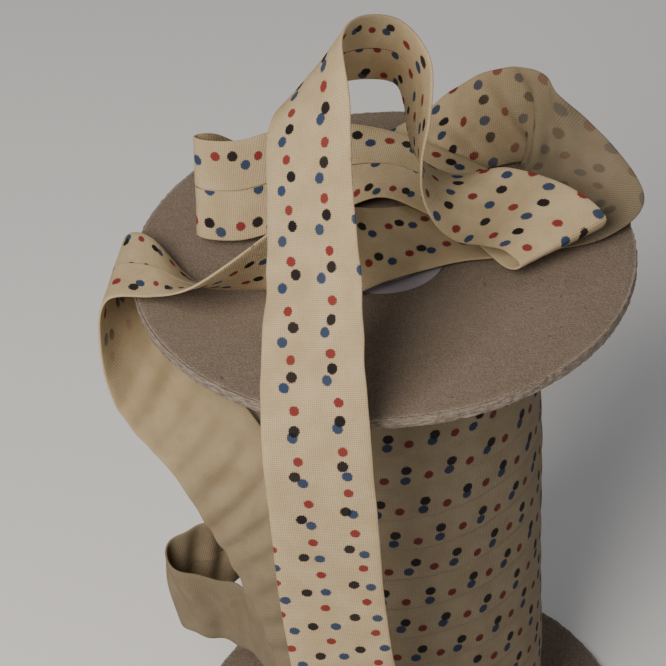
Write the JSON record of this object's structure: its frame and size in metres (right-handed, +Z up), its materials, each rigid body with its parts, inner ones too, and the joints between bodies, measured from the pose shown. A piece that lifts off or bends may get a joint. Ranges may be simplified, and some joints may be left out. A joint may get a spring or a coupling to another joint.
{
  "type": "reel of bias binding",
  "caption": "Standing reel of dotted cotton bias binding with round card flanges on a paper tube; a long loose end is looped and piled on the upper flange.",
  "frame": {"origin": "middle of the bounding box on the underside of the lower flange", "axes": "+Z up along the reel's axis; the loose end hangs at the front, towards -Y"},
  "size_m": [0.1116, 0.114, 0.207],
  "materials": {
    "chipboard": "matt grey-brown chipboard",
    "tube_paper": "matt pale paper",
    "printed_cotton": "plain-weave cream cotton with small printed dots"
  },
  "bodies": {
    "root": {"top_flange": "chipboard", "bottom_flange": "chipboard", "core_tube": "tube_paper", "wound_tape": "printed_cotton", "slack_turn": "printed_cotton", "loose_tape": "printed_cotton"}
  },
  "joints": []
}
